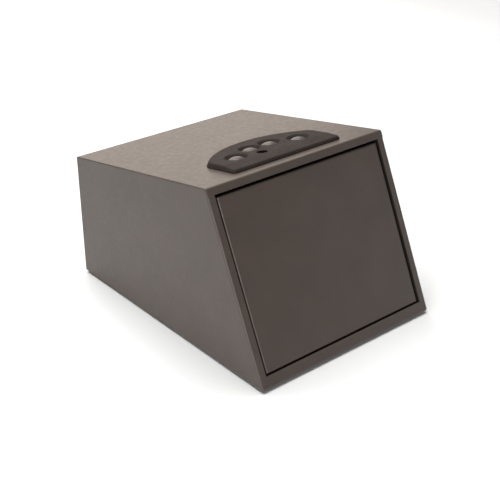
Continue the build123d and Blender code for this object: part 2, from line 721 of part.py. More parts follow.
def lock_yoke():
    """Plate screwed to the pod from below, which holds the lock up."""
    low = -SKIRT_DEPTH - 2 - SHEET
    yoke = block((LOCK_U - 18, LOCK_U + 18), (LOCK_V - 11, LOCK_V + 11), (low, low + SHEET))
    yoke -= rod(LOCK_R + 0.1, (low - 1, low + 3), LOCK_U, LOCK_V)
    for u in yoke_screw_places():
        yoke -= rod(1.5, (low - 1, low + 3), u, LOCK_V)
    return on_top(yoke)


def yoke_screws():
    low = -SKIRT_DEPTH - 2 - SHEET
    return on_top(group([rod(1.25, (low, -4.0), u, LOCK_V) + rod(2.6, (low - 1.8, low), u, LOCK_V)
                         for u in yoke_screw_places()]))


def lock_core():
    """Turning core with a key slot."""
    core = rod(CORE_R, (LOCK_BOTTOM, LOCK_TOP - 0.2), LOCK_U, LOCK_V)
    core += rod(3.0, (CAM_TOP - CAM_SHEET, LOCK_BOTTOM), LOCK_U, LOCK_V)
    key_slot = block((LOCK_U - 3.6, LOCK_U + 3.6), (LOCK_V - 0.9, LOCK_V + 0.9), (LOCK_TOP - 8, LOCK_TOP + 1))
    return on_top(core - key_slot)


def lock_cam():
    """Arm on the core whose pin works in the bolt's slot, drawn where it stands with the bolt back."""
    low = CAM_TOP - CAM_SHEET
    arm = rod(6.0, (low, CAM_TOP)) + block((-2.6, 2.6), (-CAM_REACH, 0), (low, CAM_TOP))
    arm += rod(2.6, (low, CAM_TOP), 0, -CAM_REACH)
    arm += rod(CAM_PIN_R, (low - 2.6, low), 0, -CAM_REACH)
    arm -= rod(3.05, (low - 1, CAM_TOP + 1))
    return on_top(Pos(LOCK_U, LOCK_V, 0) * Rot(0, 0, 45) * arm)


# Latch


BOLT_V, BOLT_W = top_from_front(BOLT_S, BOLT_N)
PITCH_R = GEAR_MODULE * GEAR_TEETH / 2
GEAR_W = RACK_W[1] - GEAR_MODULE + PITCH_R


def latch_bolt():
    """Round bolt with a toothed block and, behind it, a slotted arm for the lock's cam."""
    bolt = rod_x(BOLT_R, (BOLT_NOSE, BOLT_TAIL), BOLT_V, BOLT_W)
    bolt = chamfer(bolt.faces().sort_by(Axis.X)[0].edges(), 0.8)
    bolt += block(RACK, RACK_V, RACK_W)
    tooth_pitch = pi * GEAR_MODULE
    half_root = tooth_pitch / 4 - GEAR_MODULE * 1.25 * tan(PRESSURE_ANGLE) + GEAR_BACKLASH / 2
    half_tip = tooth_pitch / 4 + GEAR_MODULE * tan(PRESSURE_ANGLE) + GEAR_BACKLASH / 2
    floor = RACK_W[1] - 2.25 * GEAR_MODULE
    spaces = int((RACK[1] - RACK[0]) / tooth_pitch) - 1
    first = GEAR_U - tooth_pitch * round((GEAR_U - RACK[0]) / tooth_pitch - 1)
    for i in range(spaces):
        u = first + i * tooth_pitch
        corners = [
            (u - half_root, floor), (u + half_root, floor), (u + half_tip, RACK_W[1] + 0.01),
            (u - half_tip, RACK_W[1] + 0.01),
        ]
        space = extrude(Plane.XZ * make_face(Polyline(*corners, close=True)), amount=-40)
        bolt -= space
    arm_w = (RACK_W[0], RACK_W[0] + 1.6)
    arm = block((RACK[0], RACK[0] + 10), (RACK_V[1] - 1, 39), arm_w)
    arm += block((-17, RACK[0] + 10), (27.5, 39), arm_w)
    pin_u = LOCK_U + CAM_REACH * sin(pi / 4)
    arm -= block((pin_u - CAM_PIN_R - 0.45, pin_u + CAM_PIN_R + 0.45), (30.4, 37.1), (-40, 0))
    return on_top(bolt + arm)


def involute(base_r, tip_r, steps=5):
    """Points of an involute flank from the base circle out to the tip, starting on the X axis."""
    far = ((tip_r / base_r) ** 2 - 1) ** 0.5
    points = []
    for i in range(steps + 1):
        t = far * i / steps
        points.append((base_r * (cos(t) + t * sin(t)), base_r * (sin(t) - t * cos(t))))
    return points


def drive_pinion():
    """Involute pinion in mesh with the rack: a tooth points straight down at rest."""
    base_r = PITCH_R * cos(PRESSURE_ANGLE)
    tip_r = PITCH_R + GEAR_MODULE - 0.05
    root_r = PITCH_R - 1.25 * GEAR_MODULE
    roll = tan(PRESSURE_ANGLE) - PRESSURE_ANGLE
    half_angle = pi / (2 * GEAR_TEETH) + roll - GEAR_BACKLASH / 2 / PITCH_R
    c = cos(half_angle)
    s = sin(half_angle)
    flank = [(x * c + y * s, -x * s + y * c) for x, y in [(root_r - 0.2, 0.0)] + involute(base_r, tip_r)]
    outline = flank + [(x, -y) for x, y in reversed(flank)]
    tooth = make_face(Polyline(*outline, close=True))
    wheel = Circle(root_r)
    for i in range(GEAR_TEETH):
        wheel += Rot(0, 0, 360 * i / GEAR_TEETH - 90) * tooth
    wheel -= Circle(SHAFT_R)
    gear = extrude(Plane.XZ * wheel, amount=-(GEAR_V[1] - GEAR_V[0]))
    return on_top(Pos(GEAR_U, GEAR_V[0], GEAR_W) * gear)


def motor_shaft():
    return on_top(rod_y(SHAFT_R, (15.5, 31), GEAR_U, GEAR_W))


def latch_motor():
    """Small geared motor: square gearbox, then a flat-sided can."""
    box = block((GEAR_U - 6, GEAR_U + 6), (27.5, 36.5), (GEAR_W - 5, GEAR_W + 5))
    box -= rod_y(SHAFT_R + 0.05, (27, 31.5), GEAR_U, GEAR_W)
    can = rod_y(6.0, (36.5, 51.5), GEAR_U, GEAR_W) & block((0, 60), (30, 60), (GEAR_W - 5, GEAR_W + 5))
    return on_top(box + can + rod_y(2.5, (51.5, 52.5), GEAR_U, GEAR_W))


BRACKET_LOW = -33.5
BRACKET_TOP = BRACKET_LOW + SHEET


def motor_cradle():
    """Moulded seat that holds the motor above the bracket."""
    side = (GEAR_U - 8, GEAR_U + 8)
    seat = block(side, (29.5, 50), (BRACKET_TOP, GEAR_W + 2.5))
    seat -= block((GEAR_U - 6, GEAR_U + 6), (29, 51), (GEAR_W - 5, GEAR_W + 3))
    return on_top(seat - block((GEAR_U - 6, GEAR_U + 6), (29, 51), (BRACKET_TOP + 1.5, GEAR_W - 7)))


def motor_strap():
    """Spring steel strap over the motor."""
    high = GEAR_W + 5
    strap = block((GEAR_U - 8, GEAR_U + 8), (36, 44), (high, high + 0.8))
    for u in (GEAR_U - 8, GEAR_U + 6.2):
        strap += block((u, u + 1.8), (36, 44), (GEAR_W + 2.5, high))
    return on_top(strap)


def latch_bracket():
    """Folded plate under the top that carries the bolt, motor and guide, open where the tongue comes in."""
    front = COVER_FRONT + COVER_WALL + 0.3
    low, high = -40.0, 56.0
    plate = block((low, high), (front, 56), (BRACKET_LOW, BRACKET_TOP))
    plate -= block((TONGUE_U[0] - 4, TONGUE_U[1] + 4), (0, 32), (-40, -20))
    for u in (low, high - SHEET):
        plate += block((u, u + SHEET), (front, 29), (BRACKET_LOW, -SHEET))
    for foot in ((low - 12, low + SHEET), (high - SHEET, high + 10.5)):
        plate += block(foot, (front, 29), (-2 * SHEET, -SHEET))
    plate -= rod_x(BOLT_R + 0.05, (high - 5, high + 5), BOLT_V, BOLT_W)
    for u, v in STUD_PLACES[:4]:
        plate -= rod(STUD_R + 0.2, (-9, 0), u, v)
    return on_top(plate)


def bolt_guide():
    """Brass block bored for the bolt, close behind the tongue."""
    guide = block((BOLT_NOSE + 0.5, BOLT_NOSE + 6), (15, 26), (BRACKET_TOP, -21.5))
    return on_top(guide - rod_x(BOLT_R + 0.05, (-20, 0), BOLT_V, BOLT_W))


def weld_studs():
    return on_top(group([rod(STUD_R, (-9, -SHEET), u, v) for u, v in STUD_PLACES]))


def stud_nuts():
    """Nuts on the studs: the first four hold the bracket, the rest the cover's ears."""
    nuts = []
    for i, (u, v) in enumerate(STUD_PLACES):
        seat = -2 * SHEET if i < 4 else -SHEET - COVER_WALL
        nuts.append(hexagon(7.0, (seat - 3.2, seat), u, v) - rod(STUD_R, (-12, 0), u, v))
    return on_top(group(nuts))


# Cover, electronics and batteries


def cover_prism(wall, half):
    """The cover's stepped outline, inset by a wall thickness."""
    outline = [
        (COVER_FRONT + wall, -SHEET), (COVER_BACK - wall, -SHEET), (COVER_BACK - wall, COVER_SHALLOW + wall),
        (COVER_STEP + 10 + 0.4 * wall, COVER_SHALLOW + wall), (COVER_STEP + 0.4 * wall, COVER_DEEP + wall),
        (COVER_FRONT + wall, COVER_DEEP + wall),
    ]
    face = make_face(Polyline(*outline, close=True))
    return Pos(-half, 0, 0) * extrude(Plane.YZ * face, amount=2 * half)


def board_post_places():
    return [(u, v) for u in (-50.0, 50.0) for v in (76.0, 90.0)]


def mechanism_cover():
    """Moulded cover over the latch, boards and batteries, with rails for the battery cover."""
    cover = cover_prism(0, COVER_HALF) - cover_prism(COVER_WALL, COVER_HALF - COVER_WALL)
    cover -= block((TONGUE_U[0] - 4, TONGUE_U[1] + 4), (0, 20), (COVER_DEEP + COVER_WALL, -14))
    cover -= block((-54, 54), (99.5, 136.5), (COVER_SHALLOW - 1, COVER_SHALLOW + COVER_WALL + 1))
    for u, v in board_post_places():
        cover += rod(2.5, (COVER_SHALLOW + 1, -20.4), u, v)
    low = COVER_SHALLOW
    rail = block((57.3, 59.3), (97, 143), (low - 3.6, low))
    rail += block((55, 58), (97, 143), (low - 3.6, low - 2.5))
    for side in both_sides(rail):
        cover += side
    cover += block((-59.3, 59.3), (141.3, 143), (low - 3.6, low))
    for u, v in STUD_PLACES[4:]:
        ear = (COVER_HALF - 1, COVER_HALF + 11) if u > 0 else (-COVER_HALF - 11, -COVER_HALF + 1)
        cover += block(ear, (v - 6, v + 6), (-SHEET - COVER_WALL, -SHEET))
        cover -= rod(STUD_R + 0.2, (-9, 0), u, v)
    return on_top(cover)


def battery_cover():
    """Sliding lid under the batteries, with a thumb ridge."""
    low = COVER_SHALLOW
    lid = block((-57, 57), (97.2, 141), (low - 2.3, low - 0.2))
    return on_top(lid + block((-12, 12), (101, 102.5), (low - 3.4, low - 2.3)))


def battery_tray():
    """Open-bottomed tray for two rows of cells."""
    tray = block((-56, 56), (97.5, 138.5), (-23.8, -5))
    for v in (CELL_PLACES[0][1], CELL_PLACES[2][1]):
        tray -= block((-54, 54), (v - 8.6, v + 8.6), (-30, -7))
    return on_top(tray)


def batteries():
    """Four cylindrical cells, each with its raised end."""
    cells = []
    half = CELL_LENGTH / 2 - 0.65
    for i, (u, v) in enumerate(CELL_PLACES):
        can = rod_x(CELL_R, (u - half, u + half), v, CELL_W)
        tip = (u + half, u + half + 1.0) if i < 2 else (u - half - 1.0, u - half)
        cells.append(can + rod_x(2.7, tip, v, CELL_W))
    return on_top(group(cells))


def battery_contacts():
    """Contact plates at both ends of each row and between the cells."""
    plates = []
    for v in (CELL_PLACES[0][1], CELL_PLACES[2][1]):
        for u in (-54.0, -0.25, 53.5):
            plates.append(block((u, u + 0.5), (v - 6, v + 6), (CELL_W - 6, CELL_W + 6)))
    return on_top(group(plates))


def control_board():
    return on_top(block((-55, 55), (62, 94), (-20.4, -18.8)))


def board_components():
    """Relay, controller, capacitor, sockets and buzzer on the control board."""
    low = -18.8
    pieces = [
        block((-48, -34), (68, 84), (low, low + 8)), block((-22, -8), (72, 82), (low, low + 1.6)),
        rod(4.0, (low, low + 7.5), 8, 84), block((20, 32), (62.5, 68), (low, low + 4.5)),
        block((-24, -12), (88, 93.5), (low, low + 4.5)), rod(6.0, (low, low + 5.0), 46, 84),
    ]
    return on_top(group(pieces))


def wire_harness():
    """Leads from the motor and from the battery tray to the control board's sockets."""
    leads = [rod_y(0.6, (52.5, 62.5), u, -16.5) for u in (GEAR_U - 2, GEAR_U + 2)]
    leads += [rod_y(0.6, (93.5, 97.5), u, -16.5) for u in (-20.0, -16.0)]
    return on_top(group(leads))


right_foam, left_foam = side_foams()
nodes = {
    "case_shell": case_shell(),
    "top_plate": top_plate(),
    "back_panel": back_panel(),
    "door_frame": door_frame(),
    "door_bumpers": door_bumpers(),
    "hinge_brackets": hinge_brackets(),
    "hinge_bushes": hinge_bushes(),
    "hinge_pins": hinge_pins(),
    "door_springs": door_springs(),
    "spring_arms": spring_arms(),
    "rubber_feet": rubber_feet(),
    "foot_rivets": foot_rivets(),
    "floor_foam": floor_foam(),
    "right_foam": right_foam,
    "left_foam": left_foam,
    "back_foam": back_foam(),
    "shelf": shelf(),
    "shelf_foam": shelf_foam(),
    "shelf_brackets": shelf_brackets(),
    "door_panel": door_panel(),
    "door_stiffener": door_stiffener(),
    "door_inner_cover": door_inner_cover(),
    "striker_tongue": striker_tongue(),
    "striker_rivets": striker_rivets(),
    "door_foam": door_foam(),
    "keypad_housing": keypad_housing(),
    "keypad_seal": keypad_seal(),
    "keypad_screws": keypad_screws(),
    "switch_mat": switch_mat(),
    "keypad_board": keypad_board(),
    "keypad_back_cover": keypad_back_cover(),
    "keypad_ribbon": keypad_ribbon(),
    "lock_body": lock_body(),
    "lock_yoke": lock_yoke(),
    "yoke_screws": yoke_screws(),
    "lock_core": lock_core(),
    "lock_cam": lock_cam(),
    "latch_bolt": latch_bolt(),
    "drive_pinion": drive_pinion(),
    "motor_shaft": motor_shaft(),
    "latch_motor": latch_motor(),
    "motor_cradle": motor_cradle(),
    "motor_strap": motor_strap(),
    "latch_bracket": latch_bracket(),
    "bolt_guide": bolt_guide(),
    "weld_studs": weld_studs(),
    "stud_nuts": stud_nuts(),
    "mechanism_cover": mechanism_cover(),
    "battery_cover": battery_cover(),
    "battery_tray": battery_tray(),
    "batteries": batteries(),
    "battery_contacts": battery_contacts(),
    "control_board": control_board(),
    "board_components": board_components(),
    "wire_harness": wire_harness(),
}
for number, place in enumerate(BUTTON_PLACES, start=1):
    nodes[f"button_{number}"] = button(place)

os.makedirs("parts", exist_ok=True)
for name, shape in nodes.items():
    export_step(shape, f"parts/{name}.step")

hinge_y, hinge_z = front_point(HINGE_S, HINGE_N)
print(f"{len(nodes)} nodes, front leans {degrees(SLANT):.2f} and top slopes {degrees(SLOPE):.2f} degrees")
print(f"door pivot at y {hinge_y:.3f}, z {hinge_z:.3f}; bolt axis at v {BOLT_V:.2f}, w {BOLT_W:.2f}")
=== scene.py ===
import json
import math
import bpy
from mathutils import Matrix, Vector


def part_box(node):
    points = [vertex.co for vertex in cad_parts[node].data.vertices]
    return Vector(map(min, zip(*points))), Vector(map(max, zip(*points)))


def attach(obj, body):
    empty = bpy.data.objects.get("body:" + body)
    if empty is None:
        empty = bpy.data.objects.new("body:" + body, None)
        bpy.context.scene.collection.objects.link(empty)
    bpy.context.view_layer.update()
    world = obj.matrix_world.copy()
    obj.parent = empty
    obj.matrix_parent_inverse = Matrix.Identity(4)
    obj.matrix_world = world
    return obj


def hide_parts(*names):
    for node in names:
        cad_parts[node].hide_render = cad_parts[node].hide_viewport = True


bl_info = {
    "name": "Quick access safe",
    "version": (1, 0, 0),
    "blender": (4, 5, 0),
    "location": "3D Viewport > Sidebar > Safe",
    "description": "Foam lining, finishes and studio for a wedge-shaped quick access safe",
    "category": "Object",
}

import bpy
from mathutils import Matrix, Vector

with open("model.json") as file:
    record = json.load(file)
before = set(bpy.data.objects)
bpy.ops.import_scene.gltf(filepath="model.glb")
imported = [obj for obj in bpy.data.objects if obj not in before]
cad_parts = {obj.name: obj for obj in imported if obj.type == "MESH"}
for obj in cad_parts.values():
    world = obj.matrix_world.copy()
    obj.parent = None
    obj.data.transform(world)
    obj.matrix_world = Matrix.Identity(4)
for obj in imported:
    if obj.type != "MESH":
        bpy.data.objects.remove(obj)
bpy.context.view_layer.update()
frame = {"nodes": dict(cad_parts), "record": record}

MM = 0.001

# The two slanted planes of the case, as the CAD has them: origin, and the turn about X.
FRONT_ORIGIN = Vector((0, -173.2287, 2.0)) * MM
FRONT_LEAN = math.radians(24.690)
TOP_ORIGIN = Vector((0, -80.7287, 203.2)) * MM
TOP_SLOPE = math.radians(10.259)
SHEET = 1.5 * MM

# Foam lining. The cuts lie that far out of the front and out of the top: negative is inside the case.
FRONT_CUT = -20.0 * MM
ROOF_CUT = -2.5 * MM
BACK_ROOF_CUT = -3.3 * MM
BRACKET_PLACES = (-60.0 * MM, 120.0 * MM)
BRACKET_NOTCH_LOW = 68.5 * MM
BRACKET_NOTCH_WIDTH = 26.0 * MM
BRACKET_NOTCH_HEIGHT = 22.0 * MM
ANCHOR_PLACES = [(x * MM, y * MM) for x in (-75.0, 75.0) for y in (-95.0, 105.0)]
ANCHOR_ACCESS = 12.0 * MM
RIVET_PLACES = [(x * MM, y * MM) for x in (-100.0, 100.0) for y in (-135.0, 135.0)]
RIVET_HOLLOW = 4.5 * MM
RIVET_CUTTER = 4.0 * MM
FINGER_HOLE = (0.0, -70.0 * MM, 14.0 * MM)
FINGER_CUTTER = 50.0 * MM
DOOR_PAD_HALF = 104.0 * MM
DOOR_PAD_REACH = (36.0 * MM, 180.0 * MM)
DOOR_PAD_THICKNESS = 6.0 * MM
DOOR_PAD_BACK = -14.0 * MM

# Rounding and smoothing of the pads
EDGE_SEGMENTS = 3
CUT_EDGE_ANGLE = math.radians(35)
FLAT_SMOOTH_ANGLE = math.radians(50)
PROFILED_SMOOTH_ANGLE = math.radians(60)
SUBDIVISIONS = 2
TOLERANCE = 0.001 * MM

# Materials. The cosines lie between a face's normal and its rounded one: where an edge begins and is full.
BEVEL_SAMPLES = 4
EDGE_COSINES = (0.995, 0.90)
NOISE_DETAIL = 3.0
NOISE_RANGE = (0.3, 0.7)
CELL_SPACING = 53.0 * MM
CELL_BAND = (14.0 * MM, 14.4 * MM)

# Studio. Each lamp is a square: its name, place, side in metres, power in watts and tint.
PAPER_SIZE = 40.0
PAPER_DROP = 0.05 * MM
LAMP_TARGET = Vector((0, 0, 0.1))
LAMPS = (
    ("overhead_softbox", (-0.15, 0.75, 2.5), 2.2, 114.0, "#FFFFFF"),
    ("back_softbox", (1.45, 2.65, 0.95), 1.8, 16.5, "#FFF4E6"),
    ("edge_light", (-1.7, -1.25, 0.4), 0.3, 15.0, "#FFFFFF"),
    ("right_softbox", (1.5, -1.5, 0.4), 0.5, 1.3, "#FFFFFF"),
)
SENSOR = 36.0


def linear(hex_colour):
    """An sRGB hex colour as linear red, green, blue and alpha."""
    channels = [int(hex_colour[i:i + 2], 16) / 255 for i in (1, 3, 5)]
    return tuple(c / 12.92 if c <= 0.04045 else ((c + 0.055) / 1.055) ** 2.4 for c in channels) + (1.0,)


class SafeFinishSettings(bpy.types.PropertyGroup):
    paint: bpy.props.FloatVectorProperty(
        name="Paint", description="Powder coat on the case and the door", subtype="COLOR", size=4,
        min=0, max=1, default=linear("#4A403A"))
    # Paler tone of the coat: used for its random mottling, and as the painted highlight on folded edges.
    paint_pale_and_highlight: bpy.props.FloatVectorProperty(
        name="Paint, thin", description="The same coat where it is thin, on edges and in its mottling",
        subtype="COLOR", size=4, min=0, max=1, default=linear("#584C45"))
    inner_paint: bpy.props.FloatVectorProperty(
        name="Inner paint", description="Powder coat on the frame, shelf and brackets", subtype="COLOR",
        size=4, min=0, max=1, default=linear("#2C2A28"))
    pod: bpy.props.FloatVectorProperty(
        name="Keypad", description="Moulded housing of the keypad", subtype="COLOR", size=4,
        min=0, max=1, default=linear("#2E2724"))
    button: bpy.props.FloatVectorProperty(
        name="Buttons", description="Finger buttons", subtype="COLOR", size=4,
        min=0, max=1, default=linear("#4B433E"))
    foam: bpy.props.FloatVectorProperty(
        name="Foam", description="Lining", subtype="COLOR", size=4, min=0, max=1,
        default=linear("#2E2D2F"))
    paint_roughness: bpy.props.FloatProperty(
        name="Paint roughness", description="How much the powder coat spreads a reflection",
        subtype="FACTOR", min=0, max=1, default=0.40)


class SafeFoamSettings(bpy.types.PropertyGroup):
    edge: bpy.props.FloatProperty(
        name="Edge", description="Radius of a pad's cut edges", unit="LENGTH", subtype="DISTANCE",
        min=0.0002, max=0.003, default=1.2 * MM)
    pitch: bpy.props.FloatProperty(
        name="Pitch", description="Distance between the peaks of the profiled foam", unit="LENGTH",
        subtype="DISTANCE", min=0.008, max=0.03, default=16 * MM)
    depth: bpy.props.FloatProperty(
        name="Depth", description="From peak to hollow, as a share of the pad's thickness",
        subtype="FACTOR", min=0, max=0.7, default=0.5)


class SafeStageSettings(bpy.types.PropertyGroup):
    lens: bpy.props.FloatProperty(
        name="Lens", description="Focal length on a 36 mm sensor", unit="CAMERA", min=20, max=200,
        default=73.738)
    place: bpy.props.FloatVectorProperty(
        name="Camera place", description="Where the camera stands", subtype="TRANSLATION",
        unit="LENGTH", default=(-0.69863, -0.83164, 0.63318))
    turn: bpy.props.FloatVectorProperty(
        name="Camera turn", description="The camera's rotation", subtype="EULER", unit="ROTATION",
        default=(math.radians(62.064), 0, math.radians(-39.971)))
    backdrop: bpy.props.FloatVectorProperty(
        name="Backdrop", description="Floor", subtype="COLOR", size=4, min=0, max=1,
        default=linear("#E2E2E2"))
    sky: bpy.props.FloatProperty(
        name="Sky", description="Strength of the even light from all round", min=0, max=5, default=0.12)


# Modelling helpers


def deselect_all():
    if bpy.context.object and bpy.context.object.mode != "OBJECT":
        bpy.ops.object.mode_set(mode="OBJECT")
    bpy.ops.object.select_all(action="DESELECT")


def activate(obj):
    """Makes obj the only selected object."""
    deselect_all()
    obj.select_set(True)
    bpy.context.view_layer.objects.active = obj


def settle(obj):
    """Moves an object's place, turn and size into its mesh."""
    activate(obj)
    bpy.ops.object.transform_apply(location=True, rotation=True, scale=True)
    return obj


def edit_all(obj):
    """Enters Edit Mode with everything selected."""
    activate(obj)
    bpy.ops.object.mode_set(mode="EDIT")
    bpy.ops.mesh.select_all(action="SELECT")


def clear_selection(obj):
    """Deselects everything in the mesh of obj."""
    activate(obj)
    bpy.ops.object.mode_set(mode="EDIT")
    bpy.ops.mesh.select_all(action="DESELECT")
    bpy.ops.object.mode_set(mode="OBJECT")


def face_outwards(obj):
    edit_all(obj)
    bpy.ops.mesh.normals_make_consistent(inside=False)
    bpy.ops.object.mode_set(mode="OBJECT")


def lower(obj, picked, drop):
    """Moves the vertices whose place passes a test down by drop."""
    clear_selection(obj)
    for vertex in obj.data.vertices:
        vertex.select = picked(vertex.co)
    bpy.ops.object.mode_set(mode="EDIT")
    bpy.ops.transform.translate(value=(0, 0, -drop))
    bpy.ops.object.mode_set(mode="OBJECT")


def slab(name, low, high):
    """A block between two corners."""
    deselect_all()
    size = Vector(high) - Vector(low)
    bpy.ops.mesh.primitive_cube_add(size=1, location=(Vector(low) + Vector(high)) / 2, scale=size)
    obj = bpy.context.object
    obj.name = name
    return settle(obj)


def bar(radius, depth, place, sides=48):
    """A round cutter."""
    deselect_all()
    bpy.ops.mesh.primitive_cylinder_add(vertices=sides, radius=radius, depth=depth, location=place)
    return settle(bpy.context.object)


def trim(obj, point, normal):
    """Cuts away what lies beyond a plane and closes the cut."""
    edit_all(obj)
    bpy.ops.mesh.bisect(plane_co=point, plane_no=normal, use_fill=True, clear_outer=True)
    bpy.ops.object.mode_set(mode="OBJECT")


def apply_modifier(obj, kind, **settings):
    """Adds one modifier with its settings and applies it."""
    activate(obj)
    modifier = obj.modifiers.new(kind.title(), kind)
    for key, value in settings.items():
        setattr(modifier, key, value)
    bpy.ops.object.modifier_apply(modifier=modifier.name)


def cut(obj, *cutters):
    """Takes other solids out of obj, and removes them."""
    for cutter in cutters:
        apply_modifier(obj, "BOOLEAN", operation="DIFFERENCE", solver="EXACT", object=cutter)
        bpy.data.objects.remove(cutter)


def soften(obj, width):
    """Rounds the cut edges of a pad and smooths its shading."""
    apply_modifier(
        obj, "BEVEL", width=width, segments=EDGE_SEGMENTS, limit_method="ANGLE",
        angle_limit=CUT_EDGE_ANGLE, use_clamp_overlap=True)
    activate(obj)
    bpy.ops.object.shade_smooth_by_angle(angle=FLAT_SMOOTH_ANGLE)


def slanted(origin, turn):
    """The matrix of a plane that is turned about X."""
    return Matrix.Translation(origin) @ Matrix.Rotation(turn, 4, "X")


FRONT = slanted(FRONT_ORIGIN, math.pi / 2 - FRONT_LEAN)
TOP = slanted(TOP_ORIGIN, -TOP_SLOPE)


def out_of(plane, distance):
    """The point that far out of a plane's origin."""
    return plane @ Vector((0, 0, distance))


def plane_normal(plane):
    return (plane.to_3x3() @ Vector((0, 0, 1))).normalized()


def crease_outline(obj, half_width, reach):
    """Keeps a pad's sides, ends and back sharp when it is subdivided."""
    clear_selection(obj)
    mesh = obj.data
    for edge in mesh.edges:
        ends = [mesh.vertices[i].co for i in edge.vertices]
        at_side = all(abs(abs(p.x) - half_width) < TOLERANCE for p in ends)
        at_end = any(all(abs(p.y - y) < TOLERANCE for p in ends) for y in reach)
        at_back = all(p.z < TOLERANCE for p in ends)
        edge.select = at_side or at_end or at_back
    bpy.ops.object.mode_set(mode="EDIT")
    bpy.ops.transform.edge_crease(value=1.0)
    bpy.ops.object.mode_set(mode="OBJECT")


def profiled(name, half_width, reach, thickness, pitch, depth):
    """Egg-crate foam, flat on its back at z 0, its peaks at the pad's thickness."""
    deselect_all()
    length = reach[1] - reach[0]
    columns = 2 * round(2 * half_width / pitch)
    rows = 2 * round(length / pitch)
    bpy.ops.mesh.primitive_grid_add(
        x_subdivisions=columns, y_subdivisions=rows, size=1, location=(0, sum(reach) / 2, 0))
    obj = bpy.context.object
    obj.name = name
    obj.scale = (2 * half_width, length, 1)
    settle(obj)
    edit_all(obj)
    bpy.ops.mesh.extrude_region_move(TRANSFORM_OT_translate={"value": (0, 0, thickness)})
    bpy.ops.object.mode_set(mode="OBJECT")

    def cell(point):
        """Column and row of a place in the grid."""
        column = round((point.x + half_width) / (2 * half_width / columns))
        return column, round((point.y - reach[0]) / (length / rows))

    def in_hollow(point):
        return point.z > thickness / 2 and all(number % 2 == 0 for number in cell(point))

    def on_saddle(point):
        return point.z > thickness / 2 and sum(cell(point)) % 2 == 1

    lower(obj, in_hollow, depth * thickness)
    lower(obj, on_saddle, 0.5 * depth * thickness)
    face_outwards(obj)
    crease_outline(obj, half_width, reach)
    apply_modifier(obj, "SUBSURF", levels=SUBDIVISIONS, render_levels=SUBDIVISIONS)
    activate(obj)
    bpy.ops.object.shade_smooth_by_angle(angle=PROFILED_SMOOTH_ANGLE)
    return obj


def place_on(obj, matrix):
    """Puts a piece that was modelled flat where it belongs."""
    obj.matrix_world = matrix
    return settle(obj)


def lay_in(obj, node):
    """The pad takes the place of its CAD solid."""
    obj.data.materials.clear()
    obj.data.materials.append(material("polyurethane_foam"))
    body = next(body for body, nodes in frame["record"]["behaviour"]["bodies"].items() if node in nodes)
    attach(obj, body)
    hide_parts(node)


# Material helpers


def add(tree, kind, inputs=None, **settings):
    """Adds a node, sets its properties, and sets or links its inputs."""
    node = tree.nodes.new(kind)
    for key, value in settings.items():
        setattr(node, key, value)
    for key, value in (inputs or {}).items():
        if isinstance(value, bpy.types.NodeSocket):
            tree.links.new(value, node.inputs[key])
        else:
            node.inputs[key].default_value = value
    return node


def begin(name):
    """A material with a bare shader, its output and Object coordinates."""
    made = bpy.data.materials.new(name)
    made.use_nodes = True
    tree = made.node_tree
    tree.nodes.clear()
    shader = add(tree, "ShaderNodeBsdfPrincipled")
    add(tree, "ShaderNodeOutputMaterial", {"Surface": shader.outputs["BSDF"]})
    coordinates = add(tree, "ShaderNodeTexCoord").outputs["Object"]
    return made, tree, shader, coordinates


def per(millimetres):
    """The scale of a pattern whose features are about this long."""
    return 1 / (millimetres * MM)


def noise(tree, vector, millimetres, detail):
    return add(tree, "ShaderNodeTexNoise", {"Vector": vector, "Scale": per(millimetres), "Detail": detail})


def mottle(tree, vector, millimetres, low, high):
    """A number that drifts between two values over the surface."""
    cloud = noise(tree, vector, millimetres, NOISE_DETAIL)
    return add(tree, "ShaderNodeMapRange", {
        "Value": cloud.outputs["Fac"], "From Min": NOISE_RANGE[0], "From Max": NOISE_RANGE[1],
        "To Min": low, "To Max": high}).outputs["Result"]


def blend_colours(tree, factor, first, second):
    """A mix of two colours."""
    return add(tree, "ShaderNodeMix", {0: factor, 6: first, 7: second}, data_type="RGBA").outputs[2]


def edge_mask(tree, radius):
    """One on edges that are sharper than the radius, and nothing elsewhere."""
    rounded = add(tree, "ShaderNodeBevel", {"Radius": radius}, samples=BEVEL_SAMPLES)
    face = add(tree, "ShaderNodeNewGeometry")
    alike = add(
        tree, "ShaderNodeVectorMath", {0: rounded.outputs["Normal"], 1: face.outputs["Normal"]},
        operation="DOT_PRODUCT")
    return add(tree, "ShaderNodeMapRange", {
        "Value": alike.outputs["Value"], "From Min": EDGE_COSINES[0], "From Max": EDGE_COSINES[1],
        "To Min": 0.0, "To Max": 1.0}).outputs["Result"]


def relief(tree, height, millimetres, strength, normal=None):
    """A bump of a real height."""
    inputs = {"Height": height, "Distance": millimetres * MM, "Strength": strength}
    if normal:
        inputs["Normal"] = normal
    return add(tree, "ShaderNodeBump", inputs).outputs["Normal"]


def fill_in(shader, **values):
    """Sets or links the shader's own sockets."""
    tree = shader.id_data
    for key, value in values.items():
        socket = shader.inputs[key.replace("_", " ")]
        if isinstance(value, bpy.types.NodeSocket):
            tree.links.new(value, socket)
        else:
            socket.default_value = value


# Materials


